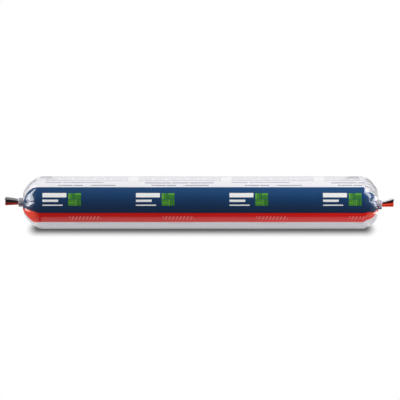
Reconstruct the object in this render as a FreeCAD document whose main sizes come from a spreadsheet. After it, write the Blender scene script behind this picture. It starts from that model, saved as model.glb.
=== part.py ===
"""A filled film sausage of flooring adhesive, with its two crimped aluminium clips.

A tube of printed foil laminate is filled with paste, gathered to a rope at each end and shut
with a clip. The film is one piece from tail to tail, so the pack is one solid: a round barrel,
two domes drawn into pleats, two necks inside the clips, and two short tails that fan out.
It lies on its side, X along the pack and Z up, on the small flat that the soft barrel settles
to. The origin is below the middle of the whole length, on that flat. All sizes are millimetres.
"""

import FreeCAD, Part
import math
import os

import Sketcher
from FreeCAD import Placement, Rotation, Vector

SIZES = {
    # the filled tube
    "pack_diameter": 49.2,
    "barrel_length": 295.2,
    "rest_flat_width": 16.0,
    "lap_width": 8.0,
    "lap_step": 0.2,
    "lap_root": 1.0,
    "lap_angle": -20.0,
    # the two domes and their pleats
    "left_dome_length": 20.2,
    "right_dome_length": 17.6,
    "left_dome_taper": 4.2,
    "right_dome_taper": 0.0,
    "pleat_count": 11,
    "crease_depth": 2.3,
    # the dimples that the clips sit in
    "left_clip_seat": 1.8,
    "right_clip_seat": 2.3,
    "dimple_clearance": 1.0,
    "dimple_margin": 0.2,
    # the gathered necks
    "left_neck_rise": 1.0,
    "right_neck_rise": -1.4,
    "neck_clearance": 0.05,
    "neck_overlap": 1.0,
    # the clips
    "clip_bore_diameter": 4.4,
    "clip_thickness": 1.5,
    "clip_width": 4.7,
    "clip_leg_length": 2.6,
    "clip_gap": 0.25,
    "clip_edge_chamfer": 0.4,
    # the tails beyond the clips
    "tail_fold_count": 7,
    "tail_fold_depth": 0.44,
    "tail_crest_width": 0.8,
    "tail_crest_rise": 0.14,
    "left_tail_length": 12.8,
    "left_tail_swell": 1.8,
    "left_tail_tip_height": 8.2,
    "left_tail_tip_width": 9.4,
    "left_tail_lift": 0.4,
    "right_tail_length": 11.3,
    "right_tail_swell": 0.9,
    "right_tail_tip_height": 9.0,
    "right_tail_tip_width": 9.0,
    "right_tail_lift": 1.7,
}

# how the folds differ from one to the next, as shares of a fold's depth or pitch
PLEAT_UNEVENNESS = 0.25
CREASE_DRIFT = 0.2
FOLD_UNEVENNESS = 0.3
FOLD_RHYTHM = 2.4
ROOT_FOLD_SHARE = 0.5

# how the lofts are cut into sections
DOME_STATIONS = 6
STATION_CROWDING = 1.3
TAIL_STATIONS = 2
TINY = 1e-4

doc = FreeCAD.newDocument("AdhesiveSausage")
sheet = doc.addObject("Spreadsheet::Sheet", "Sizes")
for row, (alias, value) in enumerate(SIZES.items(), start=1):
    sheet.set(f"A{row}", alias)
    sheet.set(f"B{row}", str(value))
    sheet.setAlias(f"B{row}", alias)
doc.recompute()


def size(alias):
    """The number in the cell of that name."""
    return float(sheet.get(alias))


barrel_radius = size("pack_diameter") / 2
axis_height = math.sqrt(barrel_radius**2 - (size("rest_flat_width") / 2) ** 2)
neck_radius = size("clip_bore_diameter") / 2 - size("neck_clearance")

clip_outer_radius = size("clip_bore_diameter") / 2 + size("clip_thickness")
clip_foot_radius = (clip_outer_radius - size("clip_gap") / 2) / 2
clip_drop = size("clip_leg_length") + clip_foot_radius


def uneven(number, strength):
    """A factor near one that differs from fold to fold, the same at every build."""
    return 1 + strength * math.sin(FOLD_RHYTHM * number + 1)


class PackEnd:
    """The places along one end of the pack. outward is -1 for the left end and 1 for the right."""

    def __init__(self, side, outward):
        self.side = side
        self.outward = outward
        self.dome_length = size(f"{side}_dome_length")
        self.dome_taper = size(f"{side}_dome_taper")
        self.neck_rise = size(f"{side}_neck_rise")
        self.clip_seat = size(f"{side}_clip_seat")
        self.dimple_depth = self.clip_seat + size("dimple_clearance")
        self.tail_length = size(f"{side}_tail_length")
        self.reach = self.dome_length - self.clip_seat + size("clip_width") + self.tail_length

    def place(self, left_reach, right_reach):
        """Settles where the shoulder, clip and tail stand, with the whole length centred on X."""
        whole = left_reach + size("barrel_length") + right_reach
        self.tip_x = self.outward * whole / 2
        self.shoulder_x = self.tip_x - self.outward * self.reach
        self.crown_x = self.shoulder_x + self.outward * self.dome_length
        self.clip_inner_x = self.crown_x - self.outward * self.clip_seat
        self.clip_outer_x = self.clip_inner_x + self.outward * size("clip_width")
        self.neck_z = axis_height + self.neck_rise


ends = [PackEnd("left", -1), PackEnd("right", 1)]
for end in ends:
    end.place(ends[0].reach, ends[1].reach)


def arcs_between(creases, crowns):
    """A closed wire of arcs, each from one crease over a crown to the next crease."""
    arcs = []
    for number, crown in enumerate(crowns):
        start = creases[number]
        finish = creases[(number + 1) % len(creases)]
        arcs.append(Part.Arc(start, crown, finish).toShape())
    return Part.Wire(arcs)


def dome_profile(end, turn):
    """Depth behind the crown plane, and radius, at a turn of 0 at the neck to 90 degrees at the barrel.

    A quarter ellipse from the neck to the barrel, its flank drawn in by the taper, and sunk into
    a dimple where the clip sits.
    """
    spread = (barrel_radius - neck_radius) * math.sin(turn)
    dimple_reach = max(clip_outer_radius, clip_drop) + size("dimple_margin")
    sunk = end.dimple_depth * math.exp(-((spread / dimple_reach) ** 2))
    drawn_in = end.dome_taper * math.sin(turn) ** 2 * math.cos(turn)
    return end.dome_length * (1 - math.cos(turn)) + drawn_in + sunk, neck_radius + spread


def inward_normal(end, turn):
    """The direction, as (depth, radius), that points into the paste from the dome's profile."""
    step = 1e-4
    depth_a, radius_a = dome_profile(end, turn - step)
    depth_b, radius_b = dome_profile(end, turn + step)
    run, rise = depth_b - depth_a, radius_b - radius_a
    length = math.hypot(run, rise)
    return rise / length, -run / length


def dome_point(end, turn, angle, sink):
    """A point of the dome, sunk below the smooth profile by that much."""
    depth, radius = dome_profile(end, turn)
    into_depth, into_radius = inward_normal(end, turn)
    depth += sink * into_depth
    radius += sink * into_radius
    rise = end.neck_rise * (1 - math.sin(turn))
    return Vector(
        end.crown_x - end.outward * depth,
        radius * math.cos(angle),
        axis_height + rise + radius * math.sin(angle),
    )


def dome_section(end, turn):
    """The pleated outline of a dome at one turn of its profile.

    The creases sink deepest a third of the way out and fade away at the shoulder, and near the
    neck they wander from their even spacing.
    """
    count = int(size("pleat_count"))
    pitch = 2 * math.pi / count
    drift = CREASE_DRIFT * math.cos(turn)
    fade = math.sqrt(math.sin(turn)) * math.cos(turn) ** 2
    angles = [pitch * (pleat + uneven(pleat + end.outward, drift)) for pleat in range(count)]
    creases, crowns = [], []
    for pleat, angle in enumerate(angles):
        next_angle = angles[(pleat + 1) % count] + (2 * math.pi if pleat + 1 == count else 0)
        sink = size("crease_depth") * fade * uneven(pleat, PLEAT_UNEVENNESS)
        creases.append(dome_point(end, turn, angle, sink))
        crowns.append(dome_point(end, turn, (angle + next_angle) / 2, 0))
    return arcs_between(creases, crowns)


def dome_shape(end):
    """The pleated dome, lofted from the neck to the shoulder, its sections closest at the neck."""
    shares = [(station / DOME_STATIONS) ** STATION_CROWDING for station in range(DOME_STATIONS + 1)]
    turns = [math.pi / 2 * share for share in shares]
    return Part.makeLoft([dome_section(end, turn) for turn in turns], True)


def tail_section(end, share):
    """The folded outline of a tail, at a share of its length from the clip to its cut end.

    Each fold has two straight flanks, a round crest outside and a sharp crease inside, and the
    folds open up away from the clip.
    """
    count = int(size("tail_fold_count"))
    root = neck_radius + size(f"{end.side}_tail_swell") / 2
    high = root + (size(f"{end.side}_tail_tip_height") / 2 - root) * share
    wide = root + (size(f"{end.side}_tail_tip_width") / 2 - root) * share
    depth = size("tail_fold_depth") * (ROOT_FOLD_SHARE + (1 - ROOT_FOLD_SHARE) * share)
    centre = Vector(
        end.clip_outer_x + end.outward * end.tail_length * share,
        0,
        end.neck_z + size(f"{end.side}_tail_lift") * share,
    )

    def at(turn, scale):
        angle = 2 * math.pi * turn / count
        return centre + Vector(0, wide * scale * math.cos(angle), high * scale * math.sin(angle))

    creases = [at(fold, 1 - depth * uneven(fold, FOLD_UNEVENNESS)) for fold in range(count)]
    crests = [at(fold + uneven(fold, FOLD_UNEVENNESS) / 2, 1) for fold in range(count)]
    edges = []
    for fold, crest in enumerate(crests):
        crease, next_crease = creases[fold], creases[(fold + 1) % count]
        back = (crest - (crease + next_crease) / 2).normalize() * size("tail_crest_rise")
        side = (next_crease - crease).normalize() * size("tail_crest_width") / 2
        near, far = crest - back - side, crest - back + side
        edges.append(Part.LineSegment(crease, near).toShape())
        edges.append(Part.Arc(near, crest, far).toShape())
        edges.append(Part.LineSegment(far, next_crease).toShape())
    return Part.Wire(edges)


def tail_shape(end):
    """The gathered tail, lofted from the clip to its square cut end."""
    shares = [station / TAIL_STATIONS for station in range(TAIL_STATIONS + 1)]
    return Part.makeLoft([tail_section(end, share) for share in shares], True)


def add_shape(name, shape):
    """A document object that holds a shape made with Part's own functions."""
    feature = doc.addObject("Part::Feature", name)
    feature.Shape = shape
    return feature


def origin_plane(body, role):
    """One of the three planes of a body's own origin."""
    return next(plane for plane in body.Origin.OriginFeatures if plane.Role == role)


def make_barrel():
    """The round barrel between the two shoulders."""
    barrel = doc.addObject("Part::Cylinder", "Barrel")
    barrel.setExpression("Radius", "Sizes.pack_diameter / 2")
    barrel.setExpression("Height", "Sizes.barrel_length")
    barrel.Placement = Placement(
        Vector(ends[0].shoulder_x, 0, axis_height), Rotation(Vector(0, 1, 0), 90)
    )
    return barrel


def make_neck(end):
    """The gathered rope of film inside a clip, running a little into the dome and the tail."""
    neck = doc.addObject("Part::Cylinder", f"{end.side.capitalize()}Neck")
    neck.setExpression("Radius", "Sizes.clip_bore_diameter / 2 - Sizes.neck_clearance")
    neck.setExpression(
        "Height",
        "Sizes.clip_width + Sizes.dimple_clearance + 2 * Sizes.neck_overlap",
    )
    start_x = end.crown_x - end.outward * (end.dimple_depth + size("neck_overlap"))
    neck.Placement = Placement(
        Vector(start_x, 0, end.neck_z), Rotation(Vector(0, 1, 0), 90 * end.outward)
    )
    return neck


def lap_shape():
    """The film's lengthwise lap: flush along one side, one film thickness proud at the other."""
    middle = math.radians(size("lap_angle"))
    half = size("lap_width") / size("pack_diameter")

    def at(radius, turn):
        angle = middle + turn
        return Vector(
            ends[0].shoulder_x, radius * math.cos(angle), axis_height + radius * math.sin(angle)
        )

    step, root = size("lap_step"), barrel_radius - size("lap_root")
    free_edge, flush_edge = at(barrel_radius + step, -half), at(barrel_radius, half)
    outline = Part.Wire(
        [
            Part.Arc(free_edge, at(barrel_radius + step / 2, 0), flush_edge).toShape(),
            Part.LineSegment(flush_edge, at(root, half)).toShape(),
            Part.LineSegment(at(root, half), at(root, -half)).toShape(),
            Part.LineSegment(at(root, -half), free_edge).toShape(),
        ]
    )
    return Part.Face(outline).extrude(Vector(size("barrel_length"), 0, 0))


def make_pack():
    """The whole filled film pack, cut flat where it rests."""
    barrel = make_barrel()
    pieces = [barrel, add_shape("LapSeam", lap_shape())]
    for end in ends:
        name = end.side.capitalize()
        pieces.append(add_shape(f"{name}Dome", dome_shape(end)))
        pieces.append(make_neck(end))
        pieces.append(add_shape(f"{name}Tail", tail_shape(end)))
    whole = doc.addObject("Part::MultiFuse", "RoundPack")
    whole.Shapes = pieces
    below = doc.addObject("Part::Box", "BelowRestFlat")
    below.setExpression("Length", "Sizes.barrel_length + 4 * Sizes.pack_diameter")
    below.setExpression("Width", "Sizes.pack_diameter * 2")
    below.setExpression("Height", "Sizes.pack_diameter")
    below.Placement = Placement(
        Vector(
            -size("barrel_length") / 2 - 2 * size("pack_diameter"),
            -size("pack_diameter"),
            -size("pack_diameter"),
        ),
        Rotation(),
    )
    pack = doc.addObject("Part::Cut", "FilledFilmPack")
    pack.Base = whole
    pack.Tool = below
    pack.Label = "filled_film_pack"
    return pack


def clip_sketch(body):
    """The outline of a shut clip: a crown over the bore, two legs, and two curled feet that meet."""
    bore, outer = size("clip_bore_diameter") / 2, clip_outer_radius
    leg, foot = size("clip_leg_length"), clip_foot_radius
    half_gap = size("clip_gap") / 2
    mouth = math.sqrt(bore**2 - half_gap**2)
    mouth_angle = math.asin(half_gap / bore)
    origin, up = Vector(0, 0, 0), Vector(0, 0, 1)

    sketch = body.newObject("Sketcher::SketchObject", f"{body.Name}Outline")
    sketch.AttachmentSupport = [(origin_plane(body, "YZ_Plane"), "")]
    sketch.MapMode = "FlatFace"

    def line(x0, y0, x1, y1):
        return sketch.addGeometry(Part.LineSegment(Vector(x0, y0, 0), Vector(x1, y1, 0)))

    def arc(centre, radius, start, finish):
        return sketch.addGeometry(Part.ArcOfCircle(Part.Circle(centre, up, radius), start, finish))

    crown = arc(origin, outer, 0, math.pi)
    left_leg = line(-outer, 0, -outer, -leg)
    left_foot = arc(Vector(-outer + foot, -leg, 0), foot, math.pi, 2 * math.pi)
    left_edge = line(-half_gap, -leg, -half_gap, -mouth)
    hole = arc(origin, bore, -math.pi / 2 + mouth_angle, 1.5 * math.pi - mouth_angle)
    right_edge = line(half_gap, -mouth, half_gap, -leg)
    right_foot = arc(Vector(outer - foot, -leg, 0), foot, math.pi, 2 * math.pi)
    right_leg = line(outer, -leg, outer, 0)

    start, finish, centre = 1, 2, 3
    origin_point, upright = (-1, 1), -2
    joins = [
        ("Tangent", crown, finish, left_leg, start),
        ("Tangent", left_leg, finish, left_foot, start),
        ("Tangent", left_foot, finish, left_edge, start),
        ("Coincident", left_edge, finish, hole, finish),
        ("Coincident", hole, start, right_edge, start),
        ("Tangent", right_edge, finish, right_foot, start),
        ("Tangent", right_foot, finish, right_leg, start),
        ("Tangent", right_leg, finish, crown, start),
        ("Coincident", crown, centre, *origin_point),
        ("Coincident", hole, centre, *origin_point),
        ("Symmetric", left_edge, start, right_edge, finish, upright),
    ]
    for join in joins:
        sketch.addConstraint(Sketcher.Constraint(*join))
    for straight in (left_leg, left_edge, right_edge, right_leg):
        sketch.addConstraint(Sketcher.Constraint("Vertical", straight))
    bound = [
        ("crown_radius", ("Radius", crown, outer), "Sizes.clip_bore_diameter / 2 + Sizes.clip_thickness"),
        ("bore_radius", ("Radius", hole, bore), "Sizes.clip_bore_diameter / 2"),
        ("leg_length", ("Distance", left_leg, leg), "Sizes.clip_leg_length"),
        (
            "gap",
            ("DistanceX", left_edge, start, right_edge, finish, 2 * half_gap),
            "Sizes.clip_gap",
        ),
    ]
    for name, terms, cell in bound:
        index = sketch.addConstraint(Sketcher.Constraint(*terms))
        sketch.renameConstraint(index, name)
        sketch.setExpression(f"Constraints.{name}", cell)
    return sketch


def outside_rims(strip):
    """The edges round both ends of a clip's strip, apart from its bore and the slot between its feet."""
    half_width, half_gap = size("clip_width") / 2, size("clip_gap") / 2
    bore = size("clip_bore_diameter") / 2
    names = []
    for number, edge in enumerate(strip.Shape.Edges, start=1):
        middle = edge.valueAt((edge.FirstParameter + edge.LastParameter) / 2)
        at_an_end = all(abs(abs(vertex.Point.x) - half_width) < TINY for vertex in edge.Vertexes)
        across = edge.BoundBox.XLength < TINY
        in_slot = abs(middle.y) < half_gap + TINY
        on_bore = math.hypot(middle.y, middle.z) < bore + TINY
        if at_an_end and across and not in_slot and not on_bore:
            names.append(f"Edge{number}")
    return names


def make_clip(end):
    """A crimped strip clip, its outer edges broken, centred on its neck."""
    body = doc.addObject("PartDesign::Body", f"{end.side.capitalize()}Clip")
    strip = body.newObject("PartDesign::Pad", f"{body.Name}Strip")
    strip.Profile = clip_sketch(body)
    strip.Midplane = True
    strip.setExpression("Length", "Sizes.clip_width")
    doc.recompute()
    chamfer = body.newObject("PartDesign::Chamfer", f"{body.Name}Chamfer")
    chamfer.Base = (strip, outside_rims(strip))
    chamfer.setExpression("Size", "Sizes.clip_edge_chamfer")
    middle_x = (end.clip_inner_x + end.clip_outer_x) / 2
    body.Placement = Placement(Vector(middle_x, 0, end.neck_z), Rotation())
    body.Label = f"{end.side}_clip"
    return body


subparts = [make_pack()] + [make_clip(end) for end in ends]
doc.recompute()

for item in doc.Objects:
    if "Invalid" in item.State or "Error" in item.State:
        raise RuntimeError(f"{item.Name} did not build: {item.State}")
for item in subparts:
    if item.Shape.isNull() or not item.Shape.isValid():
        raise RuntimeError(f"{item.Label} has no valid shape")

os.makedirs("parts", exist_ok=True)
for item in subparts:
    item.Shape.exportStep(f"parts/{item.Label}.step")
    box = item.Shape.BoundBox
    print(
        f"{item.Label}: {len(item.Shape.Solids)} solid, {item.Shape.Volume / 1000:.2f} ml, "
        f"x {box.XMin:.2f} to {box.XMax:.2f}, y {box.YMin:.2f} to {box.YMax:.2f}, "
        f"z {box.ZMin:.2f} to {box.ZMax:.2f}"
    )
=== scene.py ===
"""Dresses a film pack of flooring adhesive and its two clips, and sets them in a plain studio.

The pack is one skin of printed foil laminate, from the cut end of one tail to the cut end of
the other. It lies along X with its printed front towards -Y and Z up, in metres. The clips
are strips of aluminium bent round the gathered film and crimped.
"""

import math

import bpy
import numpy as np
from bpy.props import FloatProperty, FloatVectorProperty, IntProperty, PointerProperty
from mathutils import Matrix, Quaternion, Vector


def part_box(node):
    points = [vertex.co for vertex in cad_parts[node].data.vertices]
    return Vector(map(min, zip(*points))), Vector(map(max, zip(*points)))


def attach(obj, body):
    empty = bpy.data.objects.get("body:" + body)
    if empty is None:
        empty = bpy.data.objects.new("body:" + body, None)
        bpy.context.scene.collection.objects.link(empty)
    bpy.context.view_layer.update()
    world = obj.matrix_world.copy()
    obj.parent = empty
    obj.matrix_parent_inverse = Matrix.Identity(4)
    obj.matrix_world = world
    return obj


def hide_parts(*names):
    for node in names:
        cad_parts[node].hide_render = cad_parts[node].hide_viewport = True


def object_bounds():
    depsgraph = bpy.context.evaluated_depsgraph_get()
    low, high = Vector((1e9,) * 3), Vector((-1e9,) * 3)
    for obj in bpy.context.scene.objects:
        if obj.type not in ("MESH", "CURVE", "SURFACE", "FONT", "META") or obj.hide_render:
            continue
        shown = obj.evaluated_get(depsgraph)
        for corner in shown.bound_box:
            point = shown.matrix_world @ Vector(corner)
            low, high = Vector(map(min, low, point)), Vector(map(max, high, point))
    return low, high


bl_info = {
    "name": "Adhesive film pack",
    "version": (1, 0, 0),
    "blender": (4, 5, 0),
    "location": "3D View > Sidebar > Film pack",
    "description": "Builds the printed film, the clips and the studio of a film pack of adhesive",
    "category": "Object",
}

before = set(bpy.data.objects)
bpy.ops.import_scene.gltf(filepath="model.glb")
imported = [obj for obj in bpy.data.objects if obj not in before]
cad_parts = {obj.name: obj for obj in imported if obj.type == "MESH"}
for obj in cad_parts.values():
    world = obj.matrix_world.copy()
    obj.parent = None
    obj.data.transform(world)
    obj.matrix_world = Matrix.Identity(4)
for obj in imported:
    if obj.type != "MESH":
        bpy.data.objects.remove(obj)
cad_low, cad_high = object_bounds()
pack_low, pack_high = (np.array(corner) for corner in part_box("filled_film_pack"))
pack_length = pack_high[0] - pack_low[0]
TURN = 2 * math.pi
MM = 0.001


def ink(code):
    """A colour written as six hexadecimal digits, as linear red, green and blue."""
    levels = [int(code[place : place + 2], 16) / 255 for place in (0, 2, 4)]
    return [
        level / 12.92 if level <= 0.04045 else ((level + 0.055) / 1.055) ** 2.4 for level in levels
    ]


# ---------------------------------------------------------------------------- settings


def length(name, default, text):
    """A length in metres that a user may change."""
    return FloatProperty(name=name, description=text, default=default, unit="LENGTH", precision=5)


def angle(name, degrees, text):
    """An angle that a user may change."""
    return FloatProperty(
        name=name, description=text, default=math.radians(degrees), subtype="ANGLE"
    )


def share(name, default, text):
    """A plain factor that a user may change."""
    return FloatProperty(name=name, description=text, default=default, precision=3)


def colour(name, code, text):
    """A colour that a user may change."""
    return FloatVectorProperty(
        name=name, description=text, default=ink(code), size=3, min=0, max=1, subtype="COLOR"
    )


class FilmShape(bpy.types.PropertyGroup):
    """The sizes of the filled film skin."""

    left_dome: length("Left dome", 20.2 * MM, "Length of the left dome, from barrel to crown")
    right_dome: length("Right dome", 17.6 * MM, "Length of the right dome, from barrel to crown")
    left_taper: length("Left taper", 4.2 * MM, "How far the left dome's flank is drawn in")
    right_taper: length("Right taper", 0.0, "How far the right dome's flank is drawn in")
    left_seat: length("Left seat", 1.8 * MM, "How deep the left clip sits in its dimple")
    right_seat: length("Right seat", 2.3 * MM, "How deep the right clip sits in its dimple")
    dimple_clearance: length("Dimple clearance", 1.0 * MM, "Depth of a dimple behind its clip")
    dimple_reach: length("Dimple reach", 4.59 * MM, "Distance over which a dimple flattens out")
    neck_radius: length("Neck radius", 2.15 * MM, "Radius of the gathered film in a clip")
    rest_flat: length("Resting flat", 16 * MM, "Width of the flat that the pack lies on")
    pleats: IntProperty(name="Pleats", description="Main pleats of each dome", default=11)
    crease_depth: length("Crease depth", 2.3 * MM, "Depth of a main crease where it is deepest")
    fine_creases: IntProperty(name="Fine creases", description="Fine creases per dome", default=46)
    left_fine: length("Left fine creases", 0.16 * MM, "Depth of the left dome's fine creases")
    right_fine: length("Right fine creases", 0.34 * MM, "Depth of the right dome's fine creases")
    left_crinkle: length("Left crinkle", 0.11 * MM, "Height of the crinkles of the left dome")
    right_crinkle: length("Right crinkle", 0.42 * MM, "Height of the crinkles of the right dome")
    drift: share("Drift", 1.0, "How far the bands run off their line on the domes")
    left_red_top: angle("Left red", 4, "How far up the front of the left tail its red reaches")
    right_red_top: angle("Right red", 30, "How far up the front of the right tail its red reaches")
    barrel_ripple: length("Barrel ripple", 0.07 * MM, "Height of the waves along the barrel")
    lap_width: length("Lap width", 8 * MM, "Width of the lengthwise lap at the back")
    lap_step: length("Lap step", 0.2 * MM, "How far the free edge of the lap stands out")
    lap_angle: angle("Lap angle", -20, "Where the lap runs, measured from the back upwards")
    folds: IntProperty(name="Tail folds", description="Folds of each tail", default=7)
    fold_depth: share("Fold depth", 0.44, "Depth of a tail's folds as a share of its radius")
    crest_width: length("Crest width", 0.8 * MM, "Width of the round crest of a tail's fold")
    crest_rise: length("Crest rise", 0.14 * MM, "Height of the round crest of a tail's fold")
    left_tail_swell: length("Left swell", 1.8 * MM, "Swelling of the left tail past its clip")
    left_tail_high: length("Left tip height", 8.2 * MM, "Height of the left tail at its cut end")
    left_tail_wide: length("Left tip width", 9.4 * MM, "Width of the left tail at its cut end")
    left_tail_lift: length("Left lift", 0.4 * MM, "Rise of the left tail to its cut end")
    right_tail_swell: length("Right swell", 0.9 * MM, "Swelling of the right tail past its clip")
    right_tail_high: length("Right tip height", 9.0 * MM, "Height of the right tail at its cut end")
    right_tail_wide: length("Right tip width", 9.0 * MM, "Width of the right tail at its cut end")
    right_tail_lift: length("Right lift", 1.7 * MM, "Rise of the right tail to its cut end")


class FilmPrint(bpy.types.PropertyGroup):
    """The print: its bands round the pack and the plain motifs that repeat along it."""

    turned_up: angle("Turned up", 12, "How far the middle of the print is turned up from the front")
    blue_top: angle("Blue top", 36.1, "Upper edge of the blue band above the middle of the print")
    blue_bottom: angle("Blue bottom", -21.9, "Lower edge of the blue band")
    red_bottom: angle("Red bottom", -46.1, "Lower edge of the red band")
    pitch: length("Pitch", 85.9 * MM, "Distance from one set of motifs to the next")
    first_set: length("First set", -144.2 * MM, "Where a set of motifs starts along the pack")
    white: colour("White", "f0eff4", "The unprinted white of the film")
    # Painted light and shade: the blue runs from this lit colour at its upper edge to the shaded
    # one at its lower edge.
    blue_light: colour("Light blue", "0e4a80", "The blue band along its upper edge")
    blue_dark: colour("Dark blue", "182f50", "The blue band along its lower edge")
    line: colour("Line", "26101c", "The thin dark line between the blue band and the red one")
    red: colour("Red", "f5150f", "The red band at the right")
    # Painted shade: the red is drawn darker towards the left end, where less lamplight falls.
    red_left: colour("Left red", "e0120d", "The red band at the left")
    # Painted light: the red is drawn lighter where a dome gathers it, standing in for the side
    # light on the domes.
    red_gathered: colour("Gathered red", "fa3c1c", "The red band where a dome gathers it")
    bars: colour("Bars", "ffffff", "The bars of the motifs")
    strokes: colour("Strokes", "ef8d86", "The slanted strokes on the red")
    pink: colour("Pink", "c98a90", "The fine row under the strokes")
    green: colour("Green", "62b026", "The light blocks of the floor motif")
    green_dark: colour("Dark green", "348019", "The dark blocks of the floor motif")
    grey: colour("Grey", "8d909c", "The fine lines on the white")
    # Painted shade: the tails' print is drawn towards this dark colour deep in the folds, over the
    # left tail and over the blue.
    folded_in: colour("Folded in", "1a0f14", "The print deep in the folds of a tail")
    foil: colour("Foil", "b9babd", "The bare foil at the cut ends")
    # Painted shade: the dark gaps between the layers of a cut end.
    foil_gaps: colour("Foil gaps", "57565a", "The gaps between the layers at the cut ends")


class ClipShape(bpy.types.PropertyGroup):
    """The sizes of a crimped clip."""

    bore: length("Bore", 2.2 * MM, "Radius of the hole that the gathered film runs through")
    leg: length("Leg", 2.6 * MM, "Straight length of each leg below the middle of the bore")
    gap: length("Gap", 0.25 * MM, "Gap between the two curled feet")
    edge: length("Edge", 0.42 * MM, "Radius of the rounded outer edges")
    # Painted shade: a dark band across each clip, where shade falls between its curled feet, sits
    # at these heights.
    left_line: length("Left line", -1.7 * MM, "Height of the left clip's line above its bore")
    right_line: length("Right line", -3.1 * MM, "Height of the right clip's line above its bore")
    metal: colour("Metal", "d0ccd6", "The bare aluminium")
    dull: colour("Dull metal", "b6b2bb", "The aluminium where it is scuffed")
    # Painted shade: the colour of the dark band low on each clip.
    crimp: colour("Crimp line", "40343c", "The dark line where the crimp bit")


class StudioSet(bpy.types.PropertyGroup):
    """The camera and the light."""

    elevation: angle("Elevation", 12, "Height of the camera's view above the horizon")
    distance: length("Distance", 1.6, "Distance of the camera from the pack")
    field_width: length("Field width", 372.8 * MM, "Width that the picture takes in at the pack")
    aim_side: length("Aim to the side", 0.56 * MM, "How far right of the pack's middle it aims")
    aim_up: length("Aim up", 2.7 * MM, "How far above the pack's axis it aims")
    overhead: share("Overhead", 1.0, "Brightness of the overhead softbox")
    sides: share("Sides", 1.0, "Brightness of the strip lights at both ends")
    ambient: share("Ambient", 0.44, "Brightness of the light from all round")


# ---------------------------------------------------------------------------- the film's shape

SIDES = ("left", "right")
SEGMENTS = 288
DOME_RINGS = 78
TAIL_RINGS = 24
NECK_RINGS = 8
BARREL_RINGS = 96
CUT_LAYERS = 8

# The film's gathering is 0 on the barrel, 1 at a neck and 2 on a tail, and a tail is above this.
ON_TAIL = 1.5

PLEAT_UNEVENNESS = 0.25
CREASE_DRIFT = 0.2
FOLD_UNEVENNESS = 0.3
FOLD_RHYTHM = 2.4
FOLD_FLANK = 0.36
DEPTH_STRETCH = 2.2
ROOT_FOLD_SHARE = 0.5

# Waves: how many there are round the film, how many there are along it or how far they twist
# along it, and their share of the height.
CRINKLE_WAVES = ((9, 5, 1.0), (17, 8, 0.6), (29, 13, 0.35), (41, 21, 0.2))
BARREL_WAVES = ((2, 3, 0.5), (3, 7, 0.3), (2, 13, 0.2), (5, 19, 0.14))
TAIL_WAVES = ((23, 2.5, 0.5), (37, 2.5, 0.35), (61, 2.5, 0.2))
TAIL_WAVE_SHARE = 0.045

# The tails: the share of their length over which they open up, how far they bow, how far short
# of their box they end, how ragged their cut is, and how far its layers step in by turns.
TAIL_OPENING = 0.09
TAIL_BOW = 0.35 * MM
CUT_INSET = 0.32 * MM
CUT_RAGGEDNESS = 0.16 * MM
LAYER_STEPS = (0.12 * MM, 0.55 * MM)
LAYER_SHRINKAGE = (0.93, 0.12)

# On a tail the red starts at the first angle, and its edge to the blue is as wide as the second.
RED_FOLD_START = -82
RED_FOLD_EDGE = 18

# Heights this near the floor are rounded off to it.
FLOOR_SOFTNESS = 0.3 * MM

# How the lower edge of the red, the edge between red and blue and the upper edge of the blue run
# off over each dome: steps in degrees, each from one share of the dome to another.
EDGE_DRIFTS = {
    "left": (
        ((-9.0, 0.05, 0.35), (3.0, 0.4, 0.75)),
        ((2.0, 0.1, 0.35), (-13.0, 0.45, 0.8)),
        ((4.0, 0.05, 0.35), (-34.0, 0.5, 0.75)),
    ),
    "right": (
        ((5.0, 0.02, 0.2), (4.0, 0.3, 0.6)),
        ((1.0, 0.04, 0.19), (-5.0, 0.2, 0.5)),
        ((-10.5, 0.06, 0.13), (-30.0, 0.36, 0.75)),
    ),
}


def uneven(number, strength):
    """A factor near one that differs from fold to fold: one plus a share of a sine."""
    return 1 + strength * np.sin(FOLD_RHYTHM * number + 1)


def smooth(value, low, high):
    """Rises from 0 at low to 1 at high as a cubic with level ends."""
    part = np.clip((value - low) / (high - low), 0, 1)
    return part * part * (3 - 2 * part)


class PackEnd:
    """The places and sizes of one end of the pack. outward is -1 at the left and 1 at the right.

    It also holds each setting of the film whose name starts with its side, named without it.
    """

    def __init__(self, shape, side):
        for name in FilmShape.__annotations__:
            if name.startswith(f"{side}_"):
                setattr(self, name.removeprefix(f"{side}_"), getattr(shape, name))
        clip_low, clip_high = (np.array(corner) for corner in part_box(f"{side}_clip"))
        self.side = side
        self.outward = -1 if side == "left" else 1
        self.clip_inner, self.clip_outer = sorted((clip_low[0], clip_high[0]), key=abs)
        self.clip_radius = (clip_high[1] - clip_low[1]) / 2
        self.neck_z = clip_high[2] - self.clip_radius
        self.crown = self.clip_inner + self.outward * self.seat
        self.shoulder = self.crown - self.outward * self.dome
        self.dimple = self.seat + shape.dimple_clearance
        self.tip = pack_low[0] if side == "left" else pack_high[0]


def pack_axis(shape):
    """Radius of the barrel, and the height of its axis above the flat it rests on."""
    radius = (pack_high[1] - pack_low[1]) / 2
    return radius, math.sqrt(radius**2 - (shape.rest_flat / 2) ** 2)


def dome_profile(shape, end, turn):
    """Depth behind the crown and radius, for turns of 0 at the neck to a quarter at the barrel.

    Depth is that of a quarter ellipse, plus a taper that draws its flank in, plus a dimple that
    dies away as a bell curve. The radius grows with the sine of the turn.
    """
    radius = pack_axis(shape)[0]
    spread = (radius - shape.neck_radius) * np.sin(turn)
    dimple = end.dimple * np.exp(-((spread / shape.dimple_reach) ** 2))
    drawn_in = end.taper * np.sin(turn) ** 2 * np.cos(turn)
    return end.dome * (1 - np.cos(turn)) + drawn_in + dimple, shape.neck_radius + spread


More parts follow.
